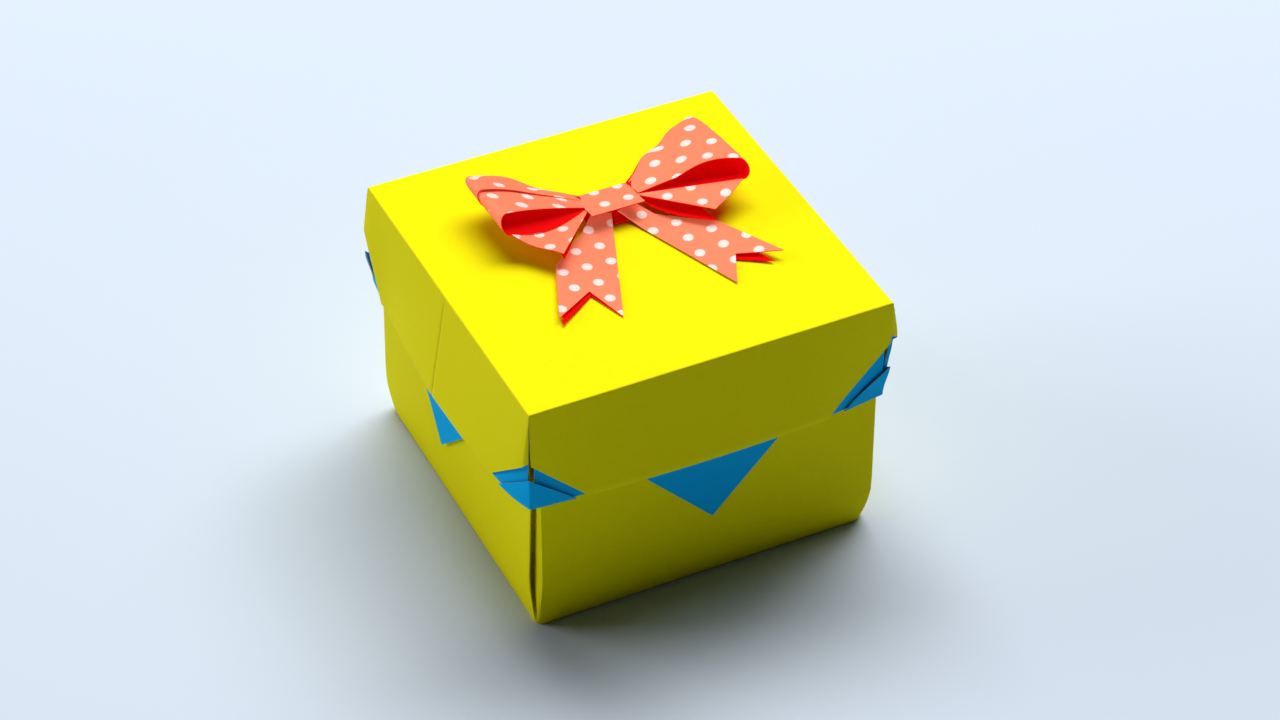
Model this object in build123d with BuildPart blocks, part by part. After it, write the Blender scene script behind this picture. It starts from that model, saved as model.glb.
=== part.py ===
from build123d import *
from math import asin, atan2, cos, radians, sin, sqrt
import os

# A gift box folded from paper: a base, a lid that slips over it and a bow glued to the lid.
# Lengths are in millimetres. +Z is up, the origin is the middle of the floor, and the front wall faces -Y.

# Paper
paper = 0.3
fold_radius = 0.5
overrun = 2.0

# Base: the sheet lies diagonally, so its corners reach up the middle of each wall and down outside it
base_side = 82.3
base_taper = 0.55
floor_inset = 0.9
base_height = 61.8
base_layers = 2
flap_length = 46.7
flap_shifts = (1.9, 4.0, -1.0, -7.0)
gusset_layers = 2
bottom_corner_radius = 2.5
bottom_corner_height = 8.0
groove_width = 3.4
groove_depth = 2.2
groove_widest_share = 0.3
groove_rim_share = 0.3

# Lid: three layers thick, with slit corners and a flap turned up round each lower corner
lid_clearance = 0.7
lid_height = 26.0
lid_layers = 3
side_bow = 4.0
front_bow = 2.1
cut_run = 13.2
cut_rise = 12.0
slit_width = 1.0
strip_slit_width = 0.6
corner_flap_run = 10.4
corner_flap_rise = 8.0

# Bow: its middle lies to the right of and behind the lid's middle
bow_right = 2.0
bow_back = 12.4
knot_length = 13.0
knot_width = 9.3
knot_height = 3.0
knot_front_height = 4.3
loop_tuck = 0.7
loop_length = 30.5
loop_depth = 30.0
loop_height = 4.6
loop_slope = 11.0
tail_length = 36.0
tail_width = 13.3
tail_gape = 2.2
tail_angle = 21.5
tail_root_right = 0.7
tail_root_front = 2.7

# Lower sheet of a loop, from the knot by the front corner, the tip and the back corner:
# shares of the loop's reach from the knot and of its depth
loop_outline_shares = ((0, -0.14), (0.5, -0.51), (0.89, -0.26), (0.89, 0.5), (0, 0.155))
# Arched upper sheet of a loop, section by section: shares of the reach, then the front, ridge and back
# as shares of the depth, then a share of the height
loop_arch_shares = (
    (0, -0.14, -0.1, 0.15, 0.4),
    (0.5, -0.17, -0.1, 0.33, 0.95),
    (0.88, -0.26, -0.2, 0.48, 1),
    (1, -0.22, -0.19, -0.02, 0.5),
)
# Swallow-tailed outline of a tail: shares of its length and width
tail_outline_shares = ((0, 0), (0, 0.33), (0.17, 0.39), (0.52, 0.88), (0.98, 1), (0.79, 0.49), (1, 0))
tail_under_share = 0.86

# Sizes that follow
base_wall = base_layers * paper
lid_wall = lid_layers * paper
base_half = base_side / 2
rim_half = base_half - base_taper
lid_half = rim_half + paper + lid_clearance + lid_wall
lid_top = base_height + lid_wall
lid_rim = lid_top - lid_height
base_lean = atan2(base_taper, base_height)
groove_reach = base_half * sqrt(2) - groove_depth
gusset_length = base_height + flap_length - base_half
loop_root = knot_length / 2 - loop_tuck


def turned(plane):
    """The four planes that a plane takes up as it is turned round the box."""
    return [Plane(Rot(Z=turn) * plane.location) for turn in (0, 90, 180, 270)]


def wall_half(height):
    """Half the base's width at a height: the walls lean in a little, and are drawn in at the floor."""
    drawn_in = floor_inset * max(0, 1 - height / bottom_corner_height)
    return base_half - base_taper * height / base_height - drawn_in


def rounded_square(height, radius):
    """The base's outline at a height."""
    with BuildSketch(Plane.XY.offset(height)) as outline:
        RectangleRounded(2 * wall_half(height), 2 * wall_half(height), radius)
    return outline.sketch


def inner_square(height):
    """The outline of the base's inside at a height, with its corners taken up by the gussets."""
    half = wall_half(height) - base_wall
    corner = 2 * half - (groove_reach - base_wall) * sqrt(2)
    with BuildSketch(Plane.XY.offset(height)) as outline:
        Rectangle(2 * half, 2 * half)
        chamfer(outline.vertices(), length=corner)
    return outline.sketch


def lid_form(inset):
    """The lid's form, inset from its outside: square at the top, with sides bowed out at the rim."""
    half = lid_half - inset
    with BuildPart() as form:
        with BuildSketch(Plane.XY.offset(lid_top - inset)):
            Rectangle(2 * half, 2 * half)
        with BuildSketch(Plane.XY.offset(lid_rim)):
            with BuildLine():
                ThreePointArc((half, -half), (half + side_bow, 0), (half, half))
                ThreePointArc((half, half), (0, half + front_bow), (-half, half))
                ThreePointArc((-half, half), (-half - side_bow, 0), (-half, -half))
                ThreePointArc((-half, -half), (0, -half - front_bow), (half, -half))
            make_face()
        loft(ruled=True)
    return form.part


def lid_corner_prisms(outline, depth):
    """Prisms over both ends of every lid wall, reaching in to a depth below the corner edges."""
    reach = side_bow + overrun
    wall = Plane(origin=(0, -lid_half - reach, 0), x_dir=(1, 0, 0), z_dir=(0, -1, 0))
    with BuildPart() as prisms:
        with BuildSketch(*turned(wall)):
            with BuildLine():
                Polyline(*outline, close=True)
            make_face()
            mirror(about=Plane.YZ)
        extrude(amount=-reach - depth)
    return prisms.part


# Base: a wall's outer face, leaning in a little
wall_plane = Plane(
    origin=(0, -base_half, 0),
    x_dir=(1, 0, 0),
    z_dir=(0, -cos(base_lean), sin(base_lean)),
)
# The face of a corner groove's floor
groove_plane = Plane(
    origin=(groove_reach / sqrt(2), -groove_reach / sqrt(2), 0),
    x_dir=(1, 1, 0),
    z_dir=(1, -1, 0),
)


def outer_flap(shift):
    """A corner of the sheet, turned down outside a wall, with its point off the wall's middle."""
    with BuildPart() as flap:
        with BuildSketch(wall_plane):
            with BuildLine():
                Polyline(
                    (shift - flap_length, base_height + overrun),
                    (shift - flap_length, base_height),
                    (shift, base_height - flap_length),
                    (shift + flap_length, base_height),
                    (shift + flap_length, base_height + overrun),
                    close=True,
                )
            make_face()
            with Locations((0, base_height / 2)):
                Rectangle(base_side - 2 * groove_width, 2 * base_height, mode=Mode.INTERSECT)
        extrude(amount=paper)
    return flap.part


# The gusset that takes up the sheet at a corner, folded flat against the inside of a wall
with BuildPart() as gusset:
    with BuildSketch(wall_plane.offset(-base_wall)):
        with BuildLine():
            Polyline(
                (-base_half, 0),
                (-base_half + gusset_length / 2, gusset_length / 2),
                (-base_half, gusset_length),
                close=True,
            )
        make_face()
    extrude(amount=-gusset_layers * paper)

# The base's form as if it were filled
with BuildPart() as base_form:
    loft(
        [
            rounded_square(0, bottom_corner_radius),
            rounded_square(bottom_corner_height, fold_radius),
            rounded_square(base_height, fold_radius),
        ],
        ruled=True,
    )

with BuildPart() as gussets:
    with PolarLocations(0, 4):
        add(gusset.part)
    add(base_form.part, mode=Mode.INTERSECT)

with BuildPart() as box_base:
    add(base_form.part)
    loft(
        [inner_square(base_wall), inner_square(bottom_corner_height), inner_square(base_height)],
        ruled=True,
        mode=Mode.SUBTRACT,
    )
    add(gussets.part)
    for wall, shift in enumerate(flap_shifts):
        add(outer_flap(shift), rotation=(0, 0, wall * 90))
    with BuildSketch(*turned(groove_plane)):
        with BuildLine():
            side = ThreePointArc(
                (0, base_wall),
                (groove_width / 2, base_height * groove_widest_share),
                (groove_width / 2 * groove_rim_share, base_height),
            )
            Polyline(side @ 1, (0, base_height), (0, base_wall))
        make_face()
        mirror(about=Plane.YZ)
    extrude(amount=groove_depth + overrun, mode=Mode.SUBTRACT)
    split(bisect_by=Plane.XY.offset(base_height), keep=Keep.BOTTOM)
box_base.part.label = "box_base"

# Lid: the outer layer's lower corners are cut back on a slant below a slit
corner_cut_outline = (
    (lid_half, lid_top - lid_wall),
    (lid_half - slit_width / 2, lid_rim + cut_rise),
    (lid_half - cut_run, lid_rim),
    (lid_half + overrun, lid_rim),
    (lid_half + overrun, lid_top - lid_wall),
)
strip_slit_outline = (
    (lid_half, lid_top - lid_wall),
    (lid_half - strip_slit_width, lid_rim),
    (lid_half + overrun, lid_rim),
    (lid_half + overrun, lid_top - lid_wall),
)
corner_flap_outline = (
    (lid_half - corner_flap_run, lid_rim),
    (lid_half, lid_rim + corner_flap_rise),
    (lid_half + overrun, lid_rim + corner_flap_rise),
    (lid_half + overrun, lid_rim),
)

with BuildPart() as corner_flaps:
    add(lid_corner_prisms(corner_flap_outline, paper))
    add(lid_form(0), mode=Mode.INTERSECT)

with BuildPart() as box_lid:
    add(lid_form(0))
    fillet(box_lid.faces().sort_by(Axis.Z)[-1].edges(), radius=fold_radius)
    add(lid_corner_prisms(corner_cut_outline, lid_wall), mode=Mode.SUBTRACT)
    add(lid_form(paper))
    add(lid_corner_prisms(strip_slit_outline, lid_wall), mode=Mode.SUBTRACT)
    add(lid_form(2 * paper))
    add(corner_flaps.part)
    add(lid_form(lid_wall), mode=Mode.SUBTRACT)
box_lid.part.label = "box_lid"

# Bow: the right half, mirrored
slope = radians(loop_slope)
spread = radians(tail_angle)
gape = asin(tail_gape / tail_width)
knot_plane = Plane(origin=(bow_right, bow_back, lid_top), x_dir=(0, 1, 0), z_dir=(1, 0, 0))
loop_plane = Plane(
    origin=(bow_right, bow_back, lid_top + paper / 2),
    x_dir=(cos(slope), 0, sin(slope)),
    z_dir=(-sin(slope), 0, cos(slope)),
)
tail_root = Vector(bow_right + tail_root_right, bow_back - tail_root_front, lid_top)
tail_plane = Plane(origin=tail_root, x_dir=(sin(spread), -cos(spread), 0), z_dir=(0, 0, 1))
upper_tail_plane = Plane(
    origin=tail_root + Vector(0, 0, paper / 2),
    x_dir=tail_plane.x_dir,
    z_dir=tail_plane.z_dir * cos(gape) - tail_plane.y_dir * sin(gape),
)


def loop_reach(share):
    """A place along a loop, from where it leaves the knot to its end."""
    return loop_root + share * (loop_length - loop_root)


def loop_section(shares, hollow):
    """A section across a loop under its arched upper sheet, or across the hollow below that sheet."""
    along, front, ridge, back, height = shares
    crown = height * loop_height
    back_run = (back - ridge) * loop_depth
    start = loop_reach(along)
    corners = ((front * loop_depth, 0), (back * loop_depth, 0), (ridge * loop_depth, crown))
    if hollow:
        start = start - paper
        floor = 2 * paper
        corners = (
            (front * loop_depth - overrun, floor),
            (back * loop_depth - back_run * (floor + paper) / crown, floor),
            (ridge * loop_depth - overrun, crown - paper + overrun * crown / back_run),
        )
    section = Plane(
        origin=loop_plane.from_local_coords((start, 0, 0)),
        x_dir=loop_plane.y_dir,
        z_dir=loop_plane.x_dir,
    )
    with BuildSketch(section) as sketch:
        with BuildLine():
            Polyline(*corners, close=True)
        make_face()
    return sketch.sketch


def tail_outline(width):
    """The points of a tail's outline."""
    return [(along * tail_length, across * width) for along, across in tail_outline_shares]


with BuildPart() as bow:
    with BuildSketch(knot_plane):
        back = knot_width / 2
        turn = knot_height / 2
        with BuildLine():
            Line((-back, 0), (back - turn, 0))
            ThreePointArc((back - turn, 0), (back, turn), (back - turn, knot_height))
            Line((back - turn, knot_height), (-back, knot_front_height))
            Line((-back, knot_front_height), (-back, knot_front_height - paper))
            Line((-back, knot_front_height - paper), (back - turn, knot_height - paper))
            ThreePointArc((back - turn, knot_height - paper), (back - paper, turn), (back - turn, paper))
            Line((back - turn, paper), (-back, paper))
            Line((-back, paper), (-back, 0))
        make_face()
    extrude(amount=knot_length / 2)
    with BuildSketch(loop_plane):
        outline = [(loop_reach(along), across * loop_depth) for along, across in loop_outline_shares]
        with BuildLine():
            Polyline((0, outline[0][1]), *outline, (0, outline[-1][1]), close=True)
        make_face()
    extrude(amount=2 * paper)
    loft([loop_section(shares, False) for shares in loop_arch_shares], ruled=True)
    loft([loop_section(shares, True) for shares in loop_arch_shares], ruled=True, mode=Mode.SUBTRACT)
    with BuildSketch(tail_plane):
        with BuildLine():
            Polyline(*tail_outline(tail_width * tail_under_share), close=True)
        make_face()
    extrude(amount=paper)
    with BuildSketch(upper_tail_plane):
        with BuildLine():
            Polyline(*tail_outline(tail_width), close=True)
        make_face()
    extrude(amount=paper)
    mirror(about=Plane.YZ.offset(bow_right))
bow.part.label = "bow"

os.makedirs("parts", exist_ok=True)
for piece in (box_base, box_lid, bow):
    export_step(piece.part, f"parts/{piece.part.label}.step")
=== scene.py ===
from math import cos, pi, radians, sin, sqrt

import bmesh
import bpy
from mathutils import Matrix, Quaternion, Vector, noise


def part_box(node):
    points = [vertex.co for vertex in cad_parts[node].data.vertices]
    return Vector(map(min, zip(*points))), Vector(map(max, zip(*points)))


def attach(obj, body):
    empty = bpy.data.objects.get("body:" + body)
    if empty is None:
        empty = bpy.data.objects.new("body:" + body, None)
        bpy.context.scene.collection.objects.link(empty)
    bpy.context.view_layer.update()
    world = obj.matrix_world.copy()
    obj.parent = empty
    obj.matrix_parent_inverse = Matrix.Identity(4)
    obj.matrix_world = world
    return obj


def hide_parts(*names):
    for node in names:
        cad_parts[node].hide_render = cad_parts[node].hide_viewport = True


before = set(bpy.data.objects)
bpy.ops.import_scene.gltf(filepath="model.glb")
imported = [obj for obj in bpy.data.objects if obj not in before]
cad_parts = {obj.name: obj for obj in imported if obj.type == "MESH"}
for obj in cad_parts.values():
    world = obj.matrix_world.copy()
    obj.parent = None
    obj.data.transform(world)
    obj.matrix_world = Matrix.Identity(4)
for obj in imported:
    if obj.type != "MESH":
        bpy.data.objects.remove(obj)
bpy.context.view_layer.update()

# The base's walls and floor: one square sheet of paper, yellow outside and blue inside. The walls are
# turned up from the floor, and a pleat at each corner takes up the paper that is left over there.
# Sizes of paper are in millimetres and become metres where a sheet is bent.
mm = 0.001
paper_thickness = 0.2
base_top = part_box("box_base")[1].z / mm
base_widest_half = 41.15
base_taper = 0.55
wall_top = base_top - 0.3
wall_hollow = 0.25
# The walls curve in above the fold at the floor, and the corner at each wall's left end is rounder there.
floor_inset = 1.0
floor_curve = 1.8
bottom_fold = 0.5
bottom_fold_depth = 0.8
bottom_corners = (2.0, 3.2, 2.0, 3.2)
bottom_corner_height = 11.0
bottom_corner_curve = 1.7
# Shares of the section below: how far the pleat eats into the wall on its left, at the floor and at the rim,
# and how wide it is at the rim.
pleat_floor_share = 1.5
pleat_rim_share = 0.3
pleat_rim_width_share = 0.65
# The pleat cut across, from the wall on its left to the wall on its right: along the wall, then inwards.
pleat_section = (
    (0, 3.4), (0, 2.8), (0.04, 2.55), (0.2, 2.42), (0.4, 2.55), (0.47, 3.0), (0.6, 4.0), (1.0, 5.0),
    (1.8, 5.8), (2.6, 5.9), (2.9, 5.4), (2.6, 4.4), (2.05, 3.2), (1.65, 2.4), (1.54, 2.0), (1.57, 1.6),
    (1.65, 1.1), (1.76, 0.65), (1.88, 0.46), (1.96, 0.32), (1.92, 0.14), (1.98, 0.03), (2.2, 0), (2.7, 0),
)
# For the corner at each wall's left end: how far its pleat gapes. A shut one leaves a narrow rounded edge.
pleat_gapes = (1.0, 0.0, 1.0, 0.0)
pleat_shut_height = 0.5
pleat_open_height = bottom_corner_height + 2
shut_corner = 0.6
yellow = (0.84, 0.75, 0.0, 1)
blue = (0.0, 0.42, 0.83, 1)
paper_white = (0.86, 0.87, 0.82, 1)
# The cut edges' colour: a dull olive between the yellow and blue sides, with painted shade. It is darker than
# the paper's pale core so that it paints the shadow lines along the cut edges.
edge_colour_and_painted_shade = (0.36, 0.42, 0.24, 1)
cloud_scale = 38
cloud_tone = 0.05
fibre_scale = 850
fibre_tone = 0.09
tooth_scale = 3800
tooth_share = 0.6
relief_strength = 0.35
relief_depth = 0.00006
rubbed_fibres = (0.42, 0.62)
fold_rub = 0.025
paper_roughness = 0.56
fibre_roughness = 0.16
paper_shine = 0.03
fold_angles = (radians(8), radians(30))
sharp_angle = radians(38)
# Corners of paper that are nearer than this are one corner, and faces thinner than a sliver are left out.
seam_gap = 0.004 * mm
weld_gap = 0.01 * mm
sliver = 0.005 * mm


class Value:
    """A value in a material: sums and products of values become its nodes."""

    def __init__(self, socket):
        self.socket = socket
        self.tree = socket.id_data

    def node(self, kind, inputs, output=0, **settings):
        """Any other node, with values or numbers given to its inputs."""
        made = self.tree.nodes.new(kind)
        for setting, choice in settings.items():
            setattr(made, setting, choice)
        for place, value in inputs.items():
            if isinstance(value, Value):
                self.tree.links.new(value.socket, made.inputs[place])
            else:
                made.inputs[place].default_value = value
        return Value(made.outputs[output])

    def math(self, operation, first, second=0.0):
        return self.node("ShaderNodeMath", {0: first, 1: second}, operation=operation)

    def mix(self, share, colour, other, blend="MIX"):
        """A colour that is turned into another by a share."""
        return self.node(
            "ShaderNodeMix", {0: share, 6: colour, 7: other}, 2, data_type="RGBA", blend_type=blend
        )

    def within(self, low, high):
        """This value spread from nought at one end to one at the other."""
        return self.node(
            "ShaderNodeMapRange", {0: self, 1: low, 2: high}, interpolation_type="SMOOTHSTEP"
        )

    def __add__(self, other):
        return self.math("ADD", self, other)

    def __radd__(self, other):
        return self.math("ADD", other, self)

    def __sub__(self, other):
        return self.math("SUBTRACT", self, other)

    def __rsub__(self, other):
        return self.math("SUBTRACT", other, self)

    def __mul__(self, other):
        return self.math("MULTIPLY", self, other)

    def __rmul__(self, other):
        return self.math("MULTIPLY", other, self)


def paper(name, colour, print_on=None, see_through=0.0):
    """Coloured craft paper: faint clouds and fibres, a fine tooth, and folds rubbed a little paler."""
    material = bpy.data.materials.new(name)
    material.use_nodes = True
    nodes = material.node_tree.nodes
    shader = nodes["Principled BSDF"]
    place = Value(nodes.new("ShaderNodeTexCoord").outputs["Object"])
    clouds = place.node("ShaderNodeTexNoise", {"Vector": place, "Scale": cloud_scale, "Detail": 3})
    fibres = place.node(
        "ShaderNodeTexNoise", {"Vector": place, "Scale": fibre_scale, "Detail": 6, "Roughness": 0.7}
    )
    tooth = place.node("ShaderNodeTexNoise", {"Vector": place, "Scale": tooth_scale, "Detail": 4})
    fold = nodes.new("ShaderNodeAttribute")
    fold.attribute_name = "fold"
    tone = 1 + cloud_tone * (clouds - 0.5) + fibre_tone * (fibres - 0.5)
    ink = print_on(place, fibres) if print_on else colour
    tinted = place.mix(1.0, ink, tone, "MULTIPLY")
    rubbed = Value(fold.outputs["Fac"]) * fibres.within(*rubbed_fibres) * fold_rub
    coloured = place.mix(rubbed, tinted, paper_white)
    relief = fibres + tooth_share * tooth
    bump = place.node(
        "ShaderNodeBump", {"Strength": relief_strength, "Distance": relief_depth, "Height": relief}
    )
    links = material.node_tree.links
    links.new(coloured.socket, shader.inputs["Base Color"])
    links.new((paper_roughness + fibre_roughness * fibres).socket, shader.inputs["Roughness"])
    links.new(bump.socket, shader.inputs["Normal"])
    shader.inputs["Specular IOR Level"].default_value = paper_shine
    if see_through:
        glow = nodes.new("ShaderNodeBsdfTranslucent")
        glow.inputs["Color"].default_value = colour
        both = nodes.new("ShaderNodeMixShader")
        both.inputs[0].default_value = see_through
        links.new(shader.outputs[0], both.inputs[1])
        links.new(glow.outputs[0], both.inputs[2])
        links.new(both.outputs[0], nodes["Material Output"].inputs["Surface"])
    return material


yellow_paper = paper("yellow_paper", yellow)
blue_paper = paper("blue_paper", blue)
# The cut edges of every sheet: a tint between the two sides, darkened as painted shade along the edges.
edge_paper_with_painted_shade = paper("edge_paper_with_painted_shade", edge_colour_and_painted_shade)


def spread(low, high, count):
    """Evenly spaced places from one end to the other."""
    return [low + (high - low) * step / count for step in range(count + 1)]


def smooth(low, high, value):
    """A share that rises gently from nought to one between two values."""
    share = min(max((value - low) / (high - low), 0), 1)
    return share * share * (3 - 2 * share)


def bend_sheet(folded, outline, cuts_across, cuts_along, bend, turn_over=False, dots=None):
    """Cut an outline from flat paper, score it along lines and bend it into place."""
    flat = bmesh.new()
    flat.faces.new([flat.verts.new((*corner, 0)) for corner in outline])
    for direction, cuts in ((Vector((1, 0, 0)), cuts_across), (Vector((0, 1, 0)), cuts_along)):
        for cut in cuts:
            geometry = flat.verts[:] + flat.edges[:] + flat.faces[:]
            bmesh.ops.bisect_plane(flat, geom=geometry, plane_co=direction * cut, plane_no=direction)
    print_place = folded.loops.layers.uv.get("print") or folded.loops.layers.uv.new("print")
    bent = {corner: folded.verts.new(bend(corner.co.x, corner.co.y) * mm) for corner in flat.verts}
    for face in flat.faces:
        corners = list(reversed(face.verts)) if turn_over else list(face.verts)
        made = folded.faces.new([bent[corner] for corner in corners])
        if dots:
            for loop, corner in zip(made.loops, corners):
                loop[print_place].uv = dots(corner.co.x, corner.co.y)
    flat.free()


def paper_piece(name, folded, papers, thickness=paper_thickness):
    """A folded sheet made solid: its face, its reverse and its cut edge each have their own paper."""
    bmesh.ops.remove_doubles(folded, verts=folded.verts[:], dist=weld_gap)
    bmesh.ops.dissolve_degenerate(folded, edges=folded.edges[:], dist=sliver)
    fold = folded.verts.layers.float.new("fold")
    for corner in folded.verts:
        angles = [edge.calc_face_angle(0) for edge in corner.link_edges]
        corner[fold] = smooth(*fold_angles, max(angles, default=0))
    mesh = bpy.data.meshes.new(name)
    folded.to_mesh(mesh)
    folded.free()
    for material in papers:
        mesh.materials.append(material)
    piece = bpy.data.objects.new(name, mesh)
    bpy.context.scene.collection.objects.link(piece)
    solid = piece.modifiers.new("paper", "SOLIDIFY")
    solid.thickness = thickness * mm
    solid.offset = -1
    solid.thickness_clamp = 1.0
    solid.material_offset = 1
    solid.material_offset_rim = 2
    return plain_mesh(piece)


def plain_mesh(piece):
    """Turn a piece and its modifiers into a plain mesh, smooth apart from its edges."""
    evaluated = piece.evaluated_get(bpy.context.evaluated_depsgraph_get())
    mesh = bpy.data.meshes.new_from_object(evaluated)
    piece.modifiers.clear()
    piece.data = mesh
    mesh.shade_smooth()
    mesh.set_sharp_from_angle(angle=sharp_angle)
    return piece


def around_box(side, along, out, height):
    """A point by a wall, from its middle to the right, outwards and up; walls are counted from the front."""
    point = Vector((along, -out, height))
    for turn in range(side):
        point = Vector((-point.y, point.x, point.z))
    return point


def base_half(height):
    """Half the base's width: the walls lean in a little to the rim and curve in at the floor."""
    low = max(1 - height / bottom_corner_height, 0)
    return base_widest_half - base_taper * height / base_top - floor_inset * low ** floor_curve


def pleat_point(side, share, height):
    """A point of the pleat at a wall's left end, along the wall and inwards."""
    rounding = 1e-6
    low = max(1 - height / bottom_corner_height, 0)
    radius = shut_corner + (bottom_corners[side] - shut_corner) * low ** bottom_corner_curve
    turn = share * pi / 2
    rounded = Vector((radius * (1 - cos(turn)), radius * (1 - sin(turn))))
    place = share * (len(pleat_section) - 1)
    before = min(int(place + rounding), len(pleat_section) - 2)
    section = Vector(pleat_section[before]).lerp(Vector(pleat_section[before + 1]), place - before)
    up = height / base_top
    width = 1 + (pleat_rim_width_share - 1) * up
    reach = pleat_floor_share + (pleat_rim_share - pleat_floor_share) * up
    section = Vector((section.x * width, section.y * reach))
    gape = pleat_gapes[side] * smooth(pleat_shut_height, pleat_open_height, height)
    return rounded.lerp(section, gape)


def bend_base(along, height):
    """The walls, counted two to a side: first the pleat at the wall's left end, then the wall itself."""
    side, place = divmod(along, 2)
    side = int(side) % 4
    half = base_half(height)
    if place <= 1:
        across, depth = pleat_point(side, place, height)
    else:
        left = pleat_point(side, 1, height)
        across = left.x + (2 * half - pleat_point((side + 1) % 4, 0, height).y - left.x) * (place - 1)
        depth = left.y * (2 - place)
        depth += wall_hollow * sin(pi * (place - 1)) * sin(pi * height / base_top)
    low = max(1 - height / bottom_fold, 0)
    depth += bottom_fold * (1 - sqrt(1 - low * low)) * bottom_fold_depth
    return around_box(side, across - half, half - depth, height)


base_sheet = bmesh.new()
pleat_places = len(pleat_section) - 1
all_round = 2 * 4
wall_cuts = []
for side in range(4):
    wall_cuts += [2 * side + place / pleat_places for place in range(pleat_places + 1)]
    wall_cuts += spread(2 * side + 1, 2 * side + 2, 10)
curve_cuts = [1, 1.6, 2.3, 3, 4, 5, 6, 7.5]
height_cuts = spread(0, bottom_fold, 5) + curve_cuts + spread(9, wall_top, 14)
bend_sheet(
    base_sheet,
    ((0, 0), (all_round, 0), (all_round, wall_top), (0, wall_top)),
    wall_cuts[1:-1],
    height_cuts[1:-1],
    bend_base,
)
bmesh.ops.remove_doubles(base_sheet, verts=base_sheet.verts[:], dist=seam_gap)
lowest = 0.1 * mm
bottom_edge = [edge for edge in base_sheet.edges if edge.is_boundary and edge.verts[0].co.z < lowest]
bottom = bmesh.ops.edgeloop_fill(base_sheet, edges=bottom_edge)["faces"][0]
bottom.normal_update()
if bottom.normal.z > 0:
    bottom.normal_flip()
base_walls = paper_piece("base_walls", base_sheet, (yellow_paper, blue_paper, edge_paper_with_painted_shade))
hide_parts("box_base")
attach(base_walls, "base")

# The four corners of the base's sheet, folded over the rim and down outside the walls. They show the
# blue reverse of the paper, and those on the sides spring away from the wall a little.
flap_gap = 0.06
flap_rim_fold = 0.14
flap_rim = base_top - 0.1
flap_end = 37.6
flap_end_drop = 1
flap_spring_curve = 1.3
# For each wall: where the flap's point is, along and up, how far it stands off, and how far its left and
# right edges run out for each millimetre that they rise.
flap_points = (
    (1.25, 16.5, 0.0, 0.96, 0.94),
    (4.0, 15.2, 0.6, 1.0, 0.95),
    (-1.0, 15.2, 0.0, 1.0, 1.0),
    (-6.4, 15.4, 0.8, 0.84, 1.07),
)
flap_sheets = bmesh.new()
for side, (tip, tip_height, stand_off, left_run, right_run) in enumerate(flap_points):
    reach = flap_rim - tip_height

    def bend_flap(along, drop):
        """Over the rim, then down outside the wall and a little away from it."""
        lean = stand_off * (drop / reach) ** flap_spring_curve
        hollow = wall_hollow * cos(pi * along / 2 / base_widest_half) * sin(pi * drop / base_top)
        turn = min(drop / flap_rim_fold, pi)
        over = (1 - cos(turn)) / 2 * (paper_thickness + flap_gap)
        height = flap_rim - flap_rim_fold + flap_rim_fold * sin(turn) - max(drop - pi * flap_rim_fold, 0)
        return around_box(side, along, base_half(flap_rim - drop) - hollow + over + lean, height)

    flap_outline = (
        (-flap_end, 0),
        (flap_end, 0),
        (flap_end, max(reach - (flap_end - tip) / right_run, flap_end_drop)),
        (tip, reach),
        (-flap_end, max(reach - (flap_end + tip) / left_run, flap_end_drop)),
    )
    rim_cuts = spread(0, pi * flap_rim_fold, 5)
    bend_sheet(
        flap_sheets,
        flap_outline,
        spread(-flap_end, flap_end, 12)[1:-1],
        rim_cuts[1:] + spread(2, reach, 14)[:-1],
        bend_flap,
        turn_over=True,
    )
base_flaps = paper_piece("base_flaps", flap_sheets, (blue_paper, yellow_paper, edge_paper_with_painted_shade))
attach(base_flaps, "base")

# The paper left over at each corner of the base, folded flat against the inside of the next wall. It is
# the same sheet, blue on this side, and its slanted edges are folds.
gusset_depth = 1.15
gusset_edge_depth = 0.45
gusset_start = 2.3
gusset_inner = (33.4, 33.4)
gusset_rim = 5.2
gusset_fold = 0.7
gusset_low = 2.0
gusset_top = base_top - 0.4


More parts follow.
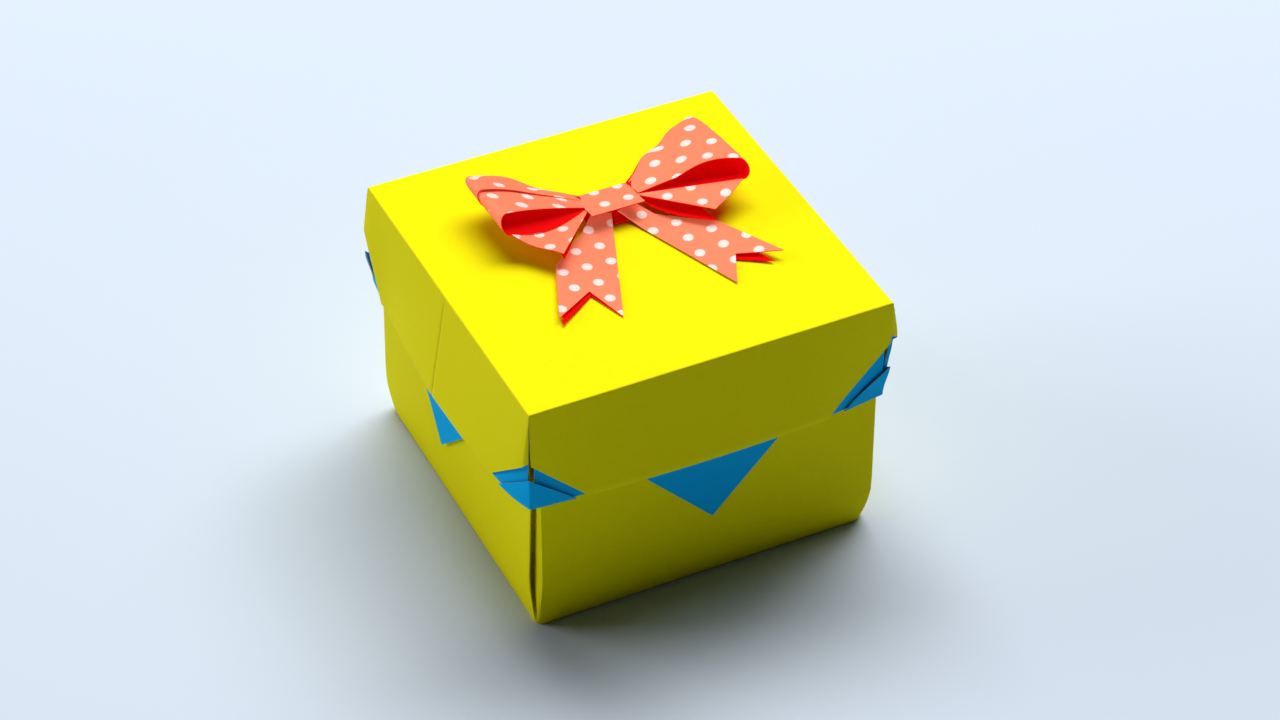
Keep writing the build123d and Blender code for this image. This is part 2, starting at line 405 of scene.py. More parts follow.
def four_sides(piece, papers):
    """Geometry nodes that turn one folded piece round the middle of the box, once for each side."""
    tree = bpy.data.node_groups.new("four_sides", "GeometryNodeTree")
    for label, kind in (("Piece", "Geometry"), ("Sides", "Int"), ("Face", "Material"),
                        ("Reverse", "Material"), ("Edge", "Material")):
        tree.interface.new_socket(label, in_out="INPUT", socket_type=f"NodeSocket{kind}")
    tree.interface.new_socket("Pieces", in_out="OUTPUT", socket_type="NodeSocketGeometry")

    def add(kind, inputs=None, **settings):
        made = tree.nodes.new(kind)
        for setting, choice in settings.items():
            setattr(made, setting, choice)
        for place, value in (inputs or {}).items():
            if isinstance(value, bpy.types.NodeSocket):
                tree.links.new(value, made.inputs[place])
            else:
                made.inputs[place].default_value = value
        return made

    given = add("NodeGroupInput").outputs
    points = add("GeometryNodePoints", {"Count": given["Sides"]})
    step = add("ShaderNodeMath", {0: 2 * pi, 1: given["Sides"]}, operation="DIVIDE")
    index = add("GeometryNodeInputIndex")
    turn = add("ShaderNodeMath", {0: index.outputs[0], 1: step.outputs[0]}, operation="MULTIPLY")
    angles = add("ShaderNodeCombineXYZ", {"Z": turn.outputs[0]})
    rotation = add("FunctionNodeEulerToRotation", {0: angles.outputs[0]})
    turned = add("GeometryNodeInstanceOnPoints", {
        "Points": points.outputs[0], "Instance": given["Piece"], "Rotation": rotation.outputs[0]})
    shown = add("GeometryNodeRealizeInstances", {0: turned.outputs[0]}).outputs[0]
    number = add("GeometryNodeInputMaterialIndex").outputs[0]
    for place, label in enumerate(("Face", "Reverse", "Edge")):
        chosen = add("FunctionNodeCompare", {2: number, 3: place}, data_type="INT", operation="EQUAL")
        shown = add("GeometryNodeSetMaterial", {
            "Geometry": shown, "Selection": chosen.outputs[0], "Material": given[label]}).outputs[0]
    tree.links.new(shown, add("NodeGroupOutput").inputs[0])
    modifier = piece.modifiers.new("four_sides", "NODES")
    modifier.node_group = tree
    identifiers = {item.name: item.identifier for item in tree.interface.items_tree if item.in_out == "INPUT"}
    modifier[identifiers["Sides"]] = 4
    for label, material in zip(("Face", "Reverse", "Edge"), papers):
        modifier[identifiers[label]] = material
    return plain_mesh(piece)


def bend_gusset(along, height):
    """Flat against the wall, and rounded down to it along the slanted folds."""
    lower = (height - along) / sqrt(2)
    upper = (gusset_inner[0] + gusset_inner[1] - along - height) / sqrt(2)
    edge = min(lower, upper, gusset_fold) / gusset_fold
    rounded = sqrt(max(1 - (1 - edge) ** 2, 0))
    depth = gusset_edge_depth + (gusset_depth - gusset_edge_depth) * rounded
    half = base_half(height)
    return around_box(0, along + gusset_start - half, half - depth, height)


gusset_sheet = bmesh.new()
bend_sheet(
    gusset_sheet,
    ((0, gusset_low), gusset_inner, (gusset_rim, gusset_top), (0, gusset_top)),
    spread(0, gusset_inner[0], 40)[1:-1],
    spread(gusset_low, gusset_top, 60)[1:-1],
    bend_gusset,
    turn_over=True,
)
base_gussets = paper_piece("base_gussets", gusset_sheet, (blue_paper, yellow_paper, blue_paper))
four_sides(base_gussets, (blue_paper, yellow_paper, blue_paper))
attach(base_gussets, "base")

# The lid's cover: the yellow side of the lid's sheet, from the top over sharp folds and down the walls,
# which are slit at the corners, cut back on a slant below and turned in at the rim.
lid_low, lid_high = (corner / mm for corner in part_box("box_lid"))
front_bow = 2.1
lid_half = lid_high.y - front_bow
lid_bows = (front_bow, lid_high.x - lid_half) * 2
lid_top = lid_high.z
lid_height = lid_high.z - lid_low.z
cover_fold = 0.45
cover_fold_run = cover_fold * pi / 2
cover_flat = lid_half - cover_fold
rim_fold = 0.25
rim_end_slant = 0.4
notch_share = 0.95
slit_left = 0.3
slit_right = 0.1
top_sag = 0.1
sag_length = 23
sag_seed = 3.0
# The walls' top edges are a little wavy, and less so further down.
wave_depth = 0.1
wave_length = 3.1
wave_apart = 7.0
wave_fade = (4, 0.5)
# The side walls keep more of their bow towards their ends, and have an upright crease in the middle.
side_fullness = 1.7
left_front_fullness = 6.0
side_slope = 0.25
crease_depth = 0.2
crease_width = 0.5
crease_start = 3
# How the walls' ends are tucked, curled, drawn in and sprung.
corner_tuck = 0.6
curl_depth = 1.4
curl_draw = 0.3
draw_run = 18
draw_rise = 10
end_run = 14.0
# For each wall: how far its cuts run along the rim and rise up its ends, on the left and on the right.
lid_cuts = (
    (12.8, 12.0, 15.0, 15.0),
    (14.6, 16.0, 13.2, 12.0),
    (13.2, 12.0, 13.2, 12.0),
    (9.0, 14.8, 14.0, 12.4),
)
# For each wall: how far its ends spring out above the cuts, and how much of them curls round the corner.
end_springs = ((0.0, 0.0), (2.5, 0.7), (0.0, 0.0), (1.5, 0.7))
end_curls = ((0.0, 0.0), (1.9, 0.0), (0.0, 0.0), (0.0, 1.5))
# For each wall: how far its ends are drawn in at the rim.
end_draws = ((0.0, 0.9), (0.6, 0.0), (0.0, 0.0), (0.0, 0.0))


def wall_bow(side, along, drop):
    """How far a lid wall stands out: most at the rim. The sides are creased, the left fuller in front."""
    share = min(abs(along) / lid_half, 1)
    drawn = end_draws[side][1 if along > 0 else 0] * smooth(lid_half - draw_run, lid_half, abs(along))
    drawn *= smooth(lid_height - draw_rise, lid_height, drop)
    if side % 2 == 0:
        return lid_bows[side] * (1 - share * share) * drop / lid_height - drawn
    fullness = left_front_fullness if side == 3 and along > 0 else side_fullness
    bowed = 1 - side_slope * share - (1 - side_slope) * share ** fullness
    crease = crease_depth * smooth(0, crease_width, crease_width - abs(along))
    crease *= smooth(0, crease_start, drop)
    return lid_bows[side] * bowed * drop / lid_height - crease - drawn


def lid_wall_point(side, along, drop, inset):
    """A point of a lid wall, or of the paper behind it, by how far it is below the top and set in."""
    wavy = wave_depth * noise.noise((along / wave_length, side * wave_apart, 0)) * smooth(*wave_fade, drop)
    return around_box(side, along, lid_half + wall_bow(side, along, drop) - inset - abs(wavy), lid_top - drop)


def bend_cover(across, along):
    """The top where it is flat, the fold along each side, then the wall below it and its turned-in rim."""
    side = (0 if along < 0 else 2) if abs(along) > abs(across) else (1 if across > 0 else 3)
    beside, beyond = (
        (across, -along),
        (along, across),
        (-across, along),
        (-along, -across),
    )[side]
    run = beyond - cover_flat
    other = max(abs(beside) - cover_flat, 0)
    if run <= 0:
        sag = top_sag * abs(noise.noise((across / sag_length, along / sag_length, sag_seed)))
        return Vector((across, along, lid_top - sag))
    if run <= cover_fold_run:
        turn = run / cover_fold
        tuck = cover_fold * (1 - cos(min(other, cover_fold_run) / cover_fold)) * corner_tuck
        drop = cover_fold * (1 - cos(turn))
        start = lid_wall_point(side, beside, cover_fold, 0)
        level = around_box(side, beside, cover_flat + cover_fold * sin(turn), lid_top - drop - tuck)
        return level.lerp(Vector((start.x, start.y, level.z)), turn / (pi / 2))
    drop = cover_fold + run - cover_fold_run
    rim = drop - (lid_height - rim_fold)
    end = 1 if beside > 0 else 0
    low = min(drop / (lid_height - lid_cuts[side][2 * end + 1]), 1)
    curl = end_curls[side][end] * low
    past = max(abs(beside) - (lid_half - curl), 0) if curl else 0
    spring = end_springs[side][end] * low
    inset = curl_depth * spring * (past / curl) ** 2 if curl else 0
    inset -= spring * smooth(lid_half - end_run, lid_half, abs(beside))
    if rim > 0:
        turn = rim / rim_fold
        inset += rim_fold * (1 - cos(turn))
        drop = lid_height - rim_fold + rim_fold * sin(turn)
    return lid_wall_point(side, beside - past * (curl_draw if end else -curl_draw), drop, inset)


rim_line = cover_flat + cover_fold_run + lid_height - cover_fold
rim_start = rim_line - rim_fold
rim_end = rim_start + rim_fold * pi
notch = cover_flat + cover_fold * notch_share
cover_outline = []
for side, (left_run, left_rise, right_run, right_rise) in enumerate(lid_cuts):
    edge = (
        (-notch, notch),
        (-lid_half + slit_left, rim_line - left_rise),
        (-lid_half + left_run, rim_start),
        (-lid_half + left_run + rim_end_slant, rim_end),
        (lid_half - right_run - rim_end_slant, rim_end),
        (lid_half - right_run, rim_start),
        (lid_half - slit_right, rim_line - right_rise),
    )
    for beside, beyond in edge:
        corner = around_box(side, beside, beyond, 0)
        cover_outline.append((corner.x, corner.y))
fold_cuts = spread(cover_flat, cover_flat + cover_fold_run, 5)
drop_cuts = spread(cover_flat + cover_fold_run, rim_start, 14)[1:] + spread(rim_start, rim_end, 5)[1:-1]
crease_cuts = [0.12, 0.25, crease_width, 1]
level_cuts = spread(0, cover_flat, 12)[:-1] + crease_cuts + spread(cover_flat - 2.5, cover_flat, 6)[:-1]
half_cuts = level_cuts[1:] + fold_cuts + drop_cuts
cover_cuts = [0] + half_cuts + [-cut for cut in half_cuts]
cover_sheet = bmesh.new()
bend_sheet(cover_sheet, cover_outline, cover_cuts, cover_cuts, bend_cover)
lid_cover = paper_piece("lid_cover", cover_sheet, (yellow_paper, blue_paper, edge_paper_with_painted_shade))
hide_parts("box_lid")
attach(lid_cover, "lid")

# The lid's lining: below the rim the same sheet turns up inside, so that its blue reverse faces out and
# shows as strips where the walls are cut back. Its ends stand a little apart at each corner.
lining_inset = 0.6
lining_end = 0.35
lining_slit = 0.55
lining_top = 1.2
lining_rim_gap = 0.15
# How far the left end of each panel turns round the corner behind the next panel, and springs outwards.
lining_turns = (0.0, 0.9, 0.0, 2.0)
lining_springs = (0.0, 1.5, 0.0, 1.5)
# How far from the corner a panel springs, and where that starts, eases and stops below the top.
lining_spring_run = 10
spring_starts = (2, 9)
spring_eases = (11, 19)
spring_eased = 0.7
spring_stops = (26, 20)
lining_sheets = bmesh.new()
lining_half = lid_half - lining_inset - lining_end
for side, (lining_turn, lining_spring) in enumerate(zip(lining_turns, lining_springs)):

    def bend_lining(along, drop):
        """Flat behind the wall, and at its left end turned round the corner."""
        round_corner = max(-lining_half - along, 0)
        spring = lining_spring * smooth(lid_half - lining_spring_run, lid_half, -along)
        eased = 1 - spring_eased * smooth(*spring_eases, drop)
        spring *= smooth(*spring_starts, drop) * eased * smooth(*spring_stops, drop)
        point = lid_wall_point(side, along + round_corner, drop, lining_inset - spring)
        return point + around_box(side, 0, -round_corner, 0)

    left_slit = lining_slit if lining_turn == 0 else 0
    lining_outline = (
        (-lining_half - lining_turn, lining_top),
        (lining_half, lining_top),
        (lining_half - lining_slit, lid_height - lining_rim_gap),
        (-lining_half - lining_turn + left_slit, lid_height - lining_rim_gap),
    )
    bend_sheet(
        lining_sheets,
        lining_outline,
        [-lining_half] + spread(-lining_half, lining_half, 24)[1:-1],
        spread(lining_top, lid_height, 10)[1:-1],
        bend_lining,
        turn_over=True,
    )
lid_lining = paper_piece("lid_lining", lining_sheets, (blue_paper, yellow_paper, edge_paper_with_painted_shade))
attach(lid_lining, "lid")

# The lid's corner flaps: the lowest points of the lining, turned up outside and round each corner. They
# are doubled, so blue on both sides, and lie in front of the strips of lining.
corner_flap_run = 10.2
corner_flap_rise = 8.4
corner_flap_inset = 0.1
corner_flap_start = 0.05
corner_flap_tuck = rim_fold * 2
tuck_slant = 0.3
tuck_rise = 0.2
# How far the top of the flap at each wall's left end springs out from that wall, and from the one before.
corner_flap_lifts = (0.35, 0.35, 0.35, 1.5)
corner_flap_lift_before = 0.35
corner_round = 0.3
corner_round_steps = (-1, -0.5, 0, 0.5, 1)
corner_cut_run = 0.7


def corner_flap_point(side, across, height):
    """A point of the flap at a wall's left corner, from the corner to the right and from the rim up."""
    up = smooth(0, corner_flap_rise, height)
    inset = corner_flap_inset - corner_flap_lifts[side] * up
    inset_before = corner_flap_inset - corner_flap_lift_before * up
    drop = lid_height - height
    before = (side - 1) % 4
    if across >= 0:
        along = across + inset_before - lid_half - wall_bow(before, lid_half, drop)
        return lid_wall_point(side, along, drop, inset)
    along = across - inset + lid_half + wall_bow(side, -lid_half, drop)
    return lid_wall_point(before, along, drop, inset_before)


corner_flap_sheets = bmesh.new()
corner_flap_outline = (
    (-corner_flap_run + tuck_slant, -corner_flap_tuck),
    (corner_flap_run - tuck_slant, -corner_flap_tuck),
    (corner_flap_run, 0),
    (0, corner_flap_rise),
    (-corner_flap_run, 0),
)
for side in range(4):

    def bend_corner_flap(across, up):
        """The flap, rounded at the corner and turned in at the rim."""
        height = max(up, 0) + corner_flap_start
        nearby = [
            corner_flap_point(side, across + step * corner_round, height) for step in corner_round_steps
        ]
        point = sum(nearby, Vector()) / len(nearby)
        turn = max(-up, 0) / rim_fold
        inwards = Vector((-point.x, -point.y, 0)).normalized()
        raised = Vector((0, 0, rim_fold * sin(turn) * tuck_rise))
        return point + inwards * rim_fold * (1 - cos(turn)) + raised

    bend_sheet(
        corner_flap_sheets,
        corner_flap_outline,
        spread(-corner_flap_run, corner_flap_run, 16)[1:-1] + spread(-corner_cut_run, corner_cut_run, 7),
        spread(-corner_flap_tuck, 0, 4)[1:] + spread(0, corner_flap_rise, 9)[1:-1],
        bend_corner_flap,
    )
lid_corner_flaps = paper_piece("lid_corner_flaps", corner_flap_sheets, (blue_paper, blue_paper, edge_paper_with_painted_shade))
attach(lid_corner_flaps, "lid")

# The lid's ceiling: the ends of the lining, folded in under the top as four points that meet in the
# middle. They are the yellow side of the same sheet, glued flat.
ceiling_gap = 0.25
ceiling_tip = ceiling_gap * 1.5
ceiling_inset = 0.55
ceiling_half = lid_half - 1.6


def bend_ceiling(along, out):
    """Flat under the top."""
    return around_box(0, along, out, lid_top - ceiling_inset)


ceiling_sheet = bmesh.new()
bend_sheet(
    ceiling_sheet,
    (
        (0, ceiling_tip),
        (ceiling_half - ceiling_gap, ceiling_half),
        (-ceiling_half + ceiling_gap, ceiling_half),
    ),
    spread(-ceiling_half, ceiling_half, 12)[1:-1],
    spread(0, ceiling_half, 6)[1:-1],
    bend_ceiling,
)
lid_ceiling = paper_piece("lid_ceiling", ceiling_sheet, (yellow_paper, blue_paper, edge_paper_with_painted_shade))
four_sides(lid_ceiling, (yellow_paper, blue_paper, edge_paper_with_painted_shade))
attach(lid_ceiling, "lid")

# The bow's knot: a band of coral paper with white dots, wrapped round the middle of the bow from the
# front edge over the top, down behind and under. The paper's plain red reverse shows inside.
bow_low, bow_high = (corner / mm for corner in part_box("bow"))
bow_middle = (bow_low.x + bow_high.x) / 2
bow_paper_thickness = 0.2
dot_pitch = 5.65
dot_radius = 1.16
dot_rim = 0.12
dot_fray = 0.16
coral = (0.95, 0.258, 0.133, 1)
dot_white = (1.0, 0.77, 0.71, 1)
bow_red = (0.86, 0.002, 0.003, 1)
dotted_see_through = 0.3
red_see_through = 0.55
knot_middle = bow_middle - 0.4
knot_half = 6.3
knot_front = 6.9
knot_back = 17.0
knot_front_height = 4.25
knot_height = 3.0
knot_turn = knot_height / 2 - 0.1
knot_level = knot_back - knot_turn - knot_front
knot_gap = 0.2
# The middle between four dots on the knot.
knot_dots = (2.7, 13.0)


def dots_on_coral(place, fibres):
    """White dots in square rows, printed with slightly soft edges."""
    print_place = place.node("ShaderNodeUVMap", {}, uv_map="print")
    parts = place.tree.nodes.new("ShaderNodeSeparateXYZ")
    place.tree.links.new(print_place.socket, parts.inputs[0])
    across = Value(parts.outputs[0])
    along = Value(parts.outputs[1])
    across = across - across.math("ROUND", across)
    along = along - along.math("ROUND", along)
    distance = place.math("SQRT", across * across + along * along) * dot_pitch + dot_fray * (fibres - 0.5)
    inside = 1 - distance.within(dot_radius - dot_rim, dot_radius + dot_rim)
    return place.mix(inside, coral, dot_white)


dotted_paper = paper("dotted_paper", coral, dots_on_coral, see_through=dotted_see_through)
red_paper = paper("red_paper", bow_red, see_through=red_see_through)
bow_papers = (dotted_paper, red_paper, red_paper)


def dots_by(middle, turn=0.0):
    """The place of points in the rows of dots, where the given middle lies between four dots."""

    def place(across, along):
        beside = across - middle[0]
        beyond = along - middle[1]
        turned = (beside * cos(turn) + beyond * sin(turn), beyond * cos(turn) - beside * sin(turn))
        return turned[0] / dot_pitch + 0.5, turned[1] / dot_pitch + 0.5

    return place


def bend_knot(across, run):
    """Over the top and down from the front, round the back fold and forwards underneath."""
    if run <= knot_level:
        share = run / knot_level
        crown = knot_front_height + (knot_height - knot_front_height) * share
        return Vector((knot_middle + across, knot_front + run, lid_top + crown))
    turn = min((run - knot_level) / knot_turn, pi)
    past = max(run - knot_level - pi * knot_turn, 0)
    behind = knot_back - knot_turn + knot_turn * sin(turn) - past
    return Vector((knot_middle + across, behind, lid_top + knot_gap + knot_turn * (1 + cos(turn))))


knot_sheet = bmesh.new()
knot_run = 2 * knot_level + pi * knot_turn
knot_pattern = dots_by((knot_dots[0] - knot_middle, knot_dots[1] - knot_front))
bend_sheet(
    knot_sheet,
    ((-knot_half, 0), (knot_half, 0), (knot_half, knot_run), (-knot_half, knot_run)),
    spread(-knot_half, knot_half, 6)[1:-1],
    spread(0, knot_run, 40)[1:-1],
    bend_knot,
    dots=knot_pattern,
)
bow_knot = paper_piece("bow_knot", knot_sheet, bow_papers, bow_paper_thickness)
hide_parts("bow")
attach(bow_knot, "lid")

# The bow's loops: on each side the paper runs out from the knot, rolls over at the end and comes back on
# top, puffed open at the front and shut along its wavy back edge. The left loop's back overlaps its front
# as a pleat. Both are held by the knot.
mouth_height = 4.1
mouth_curve = 0.75
mouth_lean = Vector((0, 0.73, 0.94))
shut_height = 0.35
loop_root_share = 0.08
arch_curve = 1.32
puff_run = 0.6
# Where a value is given for each side, 1 is the bow's right side and -1 its left.
loop_puffs = {1: 0.22, -1: 0.0}
back_blunts = {1: 0.05, -1: 0.19}
blunt_start = 0.7
blunt_run = 0.3
pleat_lift = 0.6
pleat_place = 0.5
# The wavy back edges: how far they bulge, which way, and where the right one ripples and the left one starts.
edge_wave_way = (-0.47, 0.88)
right_wave = 1.15
right_ripple = 0.5
ripple_start = 0.33
ripple_length = 0.47
left_wave = 3.2
left_wave_run = (0.4, 0.9)


def beside_bow(side, across, along, height):
    """A point by the middle of the bow: out to one side, back and up from the lid."""
    return Vector((bow_middle + side * across, along, lid_top + height))


# For each side: the mouth's inner and outer ends and the back corner, each as outwards from the middle, back
# and up.
loop_corners = {
    1: ((6.4, 11.0, 3.0), (27.6, 2.6, 6.0), (27.2, 27.5, 6.8)),
    -1: ((6.0, 11.0, 3.0), (25.8, 6.6, 5.6), (28.6, 27.9, 7.95)),
}
loop_root_back = (5.6, 16.0, 2.9)
# How far the middle of the mouth's lower edge is pushed forwards and down.
mouth_bellies = {1: 0.0, -1: 1.0}
mouth_belly = Vector((0, -1.3, -0.95))
# The sheets of each loop, as outlines of how far they run (out to 1, round to 2, in to 3) and back. The left
# loop's second sheet lies on its first.
loop_layers = {
    1: (((0, 0), (3, 0), (3, 1), (0, 1)),),
    -1: (
        ((0, 0), (3, 0), (3, 0.8), (0, 0.8)),
        ((0, 0.45), (1, 0.45), (2, 0.47), (2.4, pleat_place), (3, 0.56), (3, 1), (0, 1)),
    ),
}
# The middle between four dots on each loop, and how far the rows are turned.
loop_patterns = {1: (0.3, 10.0), -1: (2.9, 8.0)}
loop_pattern_turn = radians(38)
loop_sheets = bmesh.new()
for side, corners in loop_corners.items():
    mouth_root, mouth_end, back_corner = (Vector(corner) for corner in corners)

    def edge_wave(out):
        """How far the back edge bulges, by how far out it is from the knot."""
        if side > 0:
            ripple = right_ripple * cos(2 * pi * (out - ripple_start) / ripple_length)
            return sin(pi * out) * (right_wave + ripple)
        return left_wave * sin(pi * out) * smooth(*left_wave_run, out)

    def bend_loop(run, back, lift=0.0):
        """Out along the bottom, round the end and back over the top; then from the mouth to the back edge."""
        root = mouth_root.lerp(Vector(loop_root_back), back)
        end = mouth_end.lerp(back_corner, back)
        end = end.lerp(root, back_blunts[side] * max((back - blunt_start) / blunt_run, 0) ** 3)
        out = (end - root).normalized()
        rise = (shut_height + (mouth_height - shut_height) * (1 - back) ** mouth_curve) / 2
        rise += lift * (1 - back) / (1 - pleat_place) / 2
        if run <= 1:
            belly = mouth_belly * mouth_bellies[side] * sin(pi * run) * (1 - back) ** 4
            point = root.lerp(end, run) + belly
            share = run
        elif run <= 2:
            turn = (run - 1) * pi
            point = end + mouth_lean * rise * (1 - cos(turn)) + out * rise * sin(turn)
            share = 1
        else:
            inwards = run - 2
            arch = 1 - (1 - loop_root_share) * inwards ** arch_curve
            arch += loop_puffs[side] * sin(pi * min(inwards / puff_run, 1)) * (1 - back)
            point = end.lerp(root, inwards) + mouth_lean * 2 * rise * arch
            share = 1 - inwards
        wave = edge_wave(share) * back ** 2
        across = point.x + edge_wave_way[0] * wave
        along = point.y + edge_wave_way[1] * wave
        return beside_bow(side, across, along, point.z)

    def loop_dots(run, back):
        """The rows of dots, followed round the loop's end."""
        point = bend_loop(run, back)
        far = bend_loop(1, back)
        beyond = abs(point.x - bow_middle)
        if run > 1:
            beyond = 2 * abs(far.x - bow_middle) - beyond
        return dots_by(loop_patterns[side], loop_pattern_turn)(beyond, point.y)

    for layer, outline in enumerate(loop_layers[side]):

        def bend_layer(run, back):
            return bend_loop(run, back, pleat_lift * layer)

        bend_sheet(
            loop_sheets,
            outline,
            spread(0, 1, 8)[1:] + spread(1, 2, 14)[1:] + spread(2, 3, 18)[1:-1],
            spread(0, 0.9, 18)[1:] + spread(0.9, 1, 5)[1:-1],
            bend_layer,
            turn_over=side > 0,
            dots=loop_dots,
        )
bow_loops = paper_piece("bow_loops", loop_sheets, bow_papers, bow_paper_thickness)
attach(bow_loops, "lid")

# The bow's lips: a triangle of the same paper in front of each loop's mouth, folded forwards from its lower
# edge with the dots on top, and a second layer below it with the red side up.
lip_outline = ((-0.04, 0), (1, 0), (0, 1))
lip_lift = 0.25
lip_hollow = 0.5
lip_belly = 1.5
under_lip_outline = ((0, 0), (0.5, 0), (0, 1))
under_lip_drop = 0.5
under_lip_hollow = 1.6
# For each side: the front corners of the lip and of the layer below it.
lip_corners = {
    1: ((18.1, -2.9, 4.6), (17.6, -4.3, 3.3)),
    -1: ((18.1, -2.9, 4.6), (18.2, -3.5, 4.0)),
}
# How far the inner edge of the layer below each lip bulges.
under_bulges = {1: (-0.4, -1.8, -0.8), -1: (0, 0, 0)}
under_bulge_curve = 0.6
# The middle between four dots on each lip.
lip_patterns = {1: (16.1, 3.9), -1: (-14.7, 3.7)}
lip_sheets = bmesh.new()
for side, corners in lip_corners.items():
    mouth_root, mouth_end = (Vector(corner) for corner in loop_corners[side][:2])
    lip_corner, under_corner = (Vector(corner) for corner in corners)

    def bend_lip(outwards, forwards):
        """The lip, from the mouth's inner end outwards and to its front corner, a little hollow."""
        point = mouth_root + outwards * (mouth_end - mouth_root) + forwards * (lip_corner - mouth_root)
        hollow = lip_hollow * sin(pi * outwards) * sin(pi * min(forwards, 1))
        hollow += lip_belly * mouth_bellies[side] * sin(pi * outwards) * (1 - min(forwards, 1)) ** 2
        return beside_bow(side, point.x, point.y, point.z + lip_lift - hollow)

    def lip_dots(outwards, forwards):
        point = bend_lip(outwards, forwards)
        return dots_by(lip_patterns[side])(point.x, point.y)

    def bend_under_lip(outwards, forwards):
        """The layer below the lip, bulged at its inner edge."""
        point = mouth_root + outwards * (mouth_end - mouth_root) + forwards * (under_corner - mouth_root)
        point += Vector(under_bulges[side]) * (1 - outwards) ** 2 * sin(pi * forwards ** under_bulge_curve)
        hollow = under_lip_hollow * sin(pi * outwards) * (1 - forwards)
        return beside_bow(side, point.x, point.y, point.z - under_lip_drop - hollow)

    for bend, outline, over in (
        (bend_lip, lip_outline, side > 0),
        (bend_under_lip, under_lip_outline, side < 0),
    ):
        bend_sheet(
            lip_sheets,
            outline,
            spread(0, 1, 12)[:-1],
            spread(0, 1, 12)[1:-1],
            bend,
            turn_over=over,
            dots=lip_dots,
        )
bow_lips = paper_piece("bow_lips", lip_sheets, bow_papers, bow_paper_thickness)
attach(bow_lips, "lid")

# The bow's tails: two doubled strips that hang out in front from under the knot, folded along their inner
# edges and cut to swallow tails. The upper layer springs up at its outer edge and shows the red inside.
tail_length = 36.0
tail_width = 13.3
# The width of the under layer, and its length as a share of the upper one's.
tail_under_widths = {1: 10.6, -1: 12.6}
tail_under_shares = {1: 0.995, -1: 1.035}
tail_angle = radians(21.5)
tail_root = (0.7, 9.7)
tail_root_rise = 0.8
tail_root_run = 8
tail_fold = 0.16
tail_lie = 0.22
tail_layer_gap = 0.1
# How far the upper layer springs up at its outer edge, by how far across and along it is.
tail_gapes = {1: 1.8, -1: 1.2}
tail_gape_curve = 1.2
tail_gape_root = 0.55
tail_gape_growth = 0.45
tail_under_gape = 0.35
# The tails' outlines as shares of their length and width: the edge from the knot out, then the swallow tail.
tail_shoulders = {
    1: ((0, 0.33), (0.17, 0.39), (0.52, 0.9)),
    -1: ((0, 0.33), (0.17, 0.52), (0.5, 1.0)),
}
tail_ends = {
    1: ((1, 1.01), (0.79, 0.49), (0.965, 0)),
    -1: ((0.99, 1.02), (0.73, 0.5), (0.96, 0)),
}
# Where one of the dots is on each tail.
tail_dots = {1: (12.7, 1.0), -1: (-5.7, 1.1)}
tail_sheets = bmesh.new()
for side in (1, -1):
    tail_gape = tail_gapes[side]
    tail_under_width = tail_under_widths[side]
    shares = tail_shoulders[side] + tail_ends[side]
    upper = [(along * tail_length, across * tail_width) for along, across in shares]
    under_length = tail_length * tail_under_shares[side]
    under = [(along * under_length, -across * tail_under_width) for along, across in reversed(shares[:-1])]

    def bend_tail(along, across):
        """Along the tail from the knot, and across from its inner fold: below nought is the under layer."""
        wide = abs(across)
        if across >= 0:
            gape = tail_gape * (wide / tail_width) ** tail_gape_curve
            gape *= tail_gape_root + tail_gape_growth * along / tail_length
            height = 2 * tail_fold + tail_layer_gap + gape
        else:
            height = tail_lie + tail_under_gape * (wide / tail_under_width) ** 2 * along / tail_length
        if wide < tail_fold:
            turn = across / tail_fold * pi / 2
            height = tail_lie + tail_fold * (1 + sin(turn))
        height += tail_root_rise * smooth(tail_root_run, 0, along)
        place_x = tail_root[0] + along * sin(tail_angle) + wide * cos(tail_angle)
        place_y = tail_root[1] - along * cos(tail_angle) + wide * sin(tail_angle)
        return beside_bow(side, place_x, place_y, height)

    def tail_pattern(along, across):
        point = bend_tail(along, across)
        middle = (tail_dots[side][0] + dot_pitch / 2, tail_dots[side][1] + dot_pitch / 2)
        return dots_by(middle)(point.x, point.y)

    inner_cuts = [-tail_fold, -tail_fold / 2, 0, tail_fold / 2, tail_fold]
    under_cuts = [-cut for cut in spread(1, tail_under_width, 6)[:-1]]
    bend_sheet(
        tail_sheets,
        upper + under,
        spread(0, tail_length, 18)[1:-1],
        inner_cuts + spread(1, tail_width, 9)[:-1] + under_cuts,
        bend_tail,
        turn_over=side > 0,
        dots=tail_pattern,
    )
bow_tails = paper_piece("bow_tails", tail_sheets, bow_papers, bow_paper_thickness)
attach(bow_tails, "lid")

# The floor that the box stands on in the picture: a plain pale sheet, matt and flat. It runs out of view on
# every side and isn't a piece of the box.
floor_half = 3.0
floor_colour = (0.545, 0.615, 0.71, 1)
floor_roughness = 0.8
floor_shine = 0.2
floor_mesh = bpy.data.meshes.new("floor")
floor_corners = [
    (-floor_half, -floor_half, 0),
    (floor_half, -floor_half, 0),
    (floor_half, floor_half, 0),
    (-floor_half, floor_half, 0),
]
floor_mesh.from_pydata(floor_corners, [], [(0, 1, 2, 3)])
floor_sheet = bpy.data.objects.new("floor", floor_mesh)
bpy.context.scene.collection.objects.link(floor_sheet)
floor_material = bpy.data.materials.new("floor_paper")
floor_material.use_nodes = True
floor_shader = floor_material.node_tree.nodes["Principled BSDF"]
floor_shader.inputs["Base Color"].default_value = floor_colour
floor_shader.inputs["Roughness"].default_value = floor_roughness
floor_shader.inputs["Specular IOR Level"].default_value = floor_shine
floor_mesh.materials.append(floor_material)

# Studio light: a broad soft lamp high behind the box, a smaller one lower behind it on the left, a small one
# in front that lights the bow alone, and a pale room. Sizes are in metres and powers in watts.
lamp_middle = Vector((0, 0, 0.05))
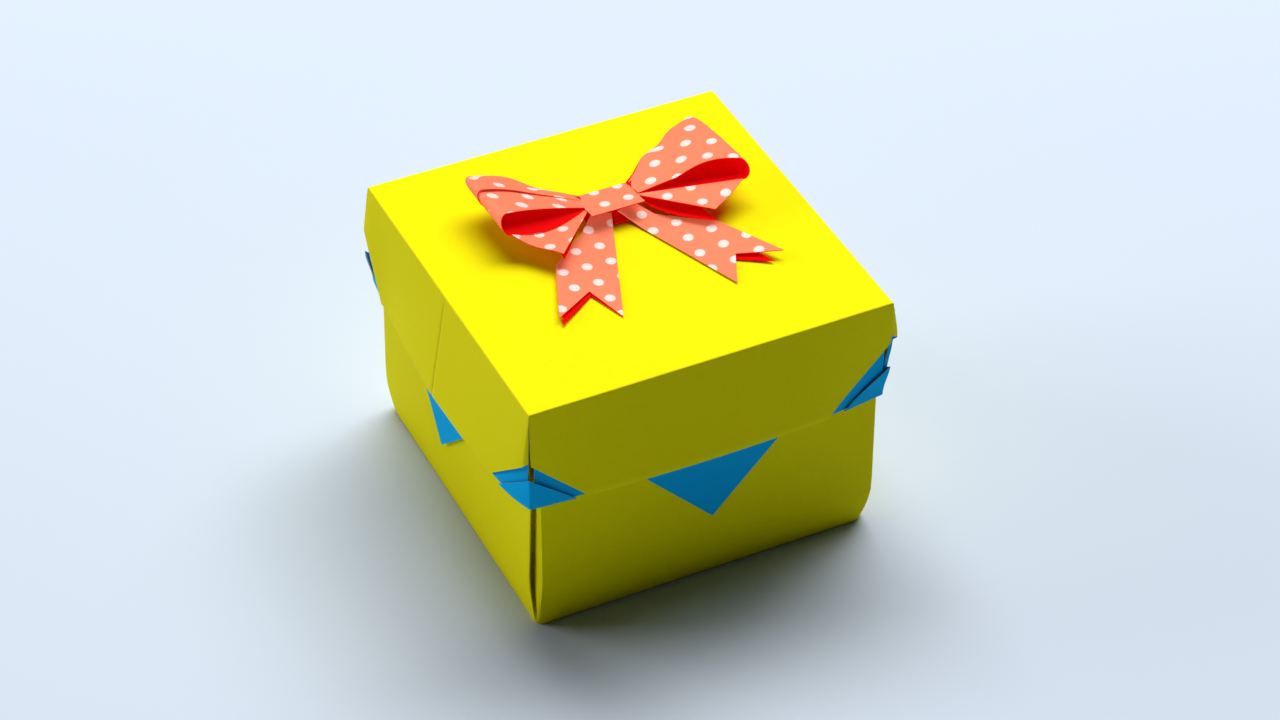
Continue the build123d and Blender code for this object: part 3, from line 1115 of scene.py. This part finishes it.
# Level directions, to the right and away, as the camera sees them.
camera_right = Vector((0.8990, -0.4380, 0))
camera_away = Vector((0.4380, 0.8990, 0))
high_place = lamp_middle + camera_right * 0.2 + camera_away * 1.25 + Vector((0, 0, 2.05))
high_size = (2.6, 1.3)
high_power = 98
side_place = Vector((-2.3, 1.7, 1.1))
side_size = (1.6, 1.2)
side_power = 37
bow_light_place = lamp_middle - camera_away * 0.8 + Vector((0, 0, 0.25))
bow_light_size = (0.3, 0.3)
bow_light_power = 8
room_colour = (0.93, 0.97, 1.0, 1)
room_light = 0.03


def lamp(name, place, size, power, along=None):
    """A soft lamp aimed at the middle of the box, with its first size along a line or else level."""
    light = bpy.data.lights.new(name, "AREA")
    light.shape = "RECTANGLE"
    light.size, light.size_y = size
    light.energy = power
    holder = bpy.data.objects.new(name, light)
    holder.location = place
    facing = (place - lamp_middle).normalized()
    run = along or Vector((0, 0, 1)).cross(facing)
    run = (run - facing * run.dot(facing)).normalized()
    upright = facing.cross(run)
    holder.rotation_mode = "QUATERNION"
    holder.rotation_quaternion = Matrix((run, upright, facing)).transposed().to_quaternion()
    bpy.context.scene.collection.objects.link(holder)
    return holder


lamp("high_lamp", high_place, high_size, high_power, along=camera_right)
lamp("side_lamp", side_place, side_size, side_power)
bow_lamp = lamp("bow_lamp", bow_light_place, bow_light_size, bow_light_power)
lit_by_bow_lamp = bpy.data.collections.new("lit_by_bow_lamp")
for bow_piece in (bow_knot, bow_loops, bow_lips, bow_tails):
    lit_by_bow_lamp.objects.link(bow_piece)
bow_lamp.light_linking.receiver_collection = lit_by_bow_lamp
world = bpy.data.worlds.new("room")
world.use_nodes = True
room = world.node_tree.nodes["Background"]
room.inputs["Color"].default_value = room_colour
room.inputs["Strength"].default_value = room_light
bpy.context.scene.world = world

# The camera looks down on the box from in front and a little to the left. Its place and lens were fitted to
# the box's corners in the photo.
camera_place = (-0.26522, -0.54231, 0.53845)
camera_look = Vector((0.33982, 0.68522, -0.64420))
camera_roll = radians(0.62)
camera = bpy.data.cameras.new("camera")
camera.sensor_width = 36.0
camera.lens = 100.26
camera_holder = bpy.data.objects.new("camera", camera)
camera_holder.location = camera_place
camera_holder.rotation_mode = "QUATERNION"
camera_turn = camera_look.to_track_quat("-Z", "Y")
camera_holder.rotation_quaternion = camera_turn @ Quaternion((0, 0, 1), camera_roll)
bpy.context.scene.collection.objects.link(camera_holder)
bpy.context.scene.camera = camera_holder
bpy.context.scene.view_settings.view_transform = "Standard"
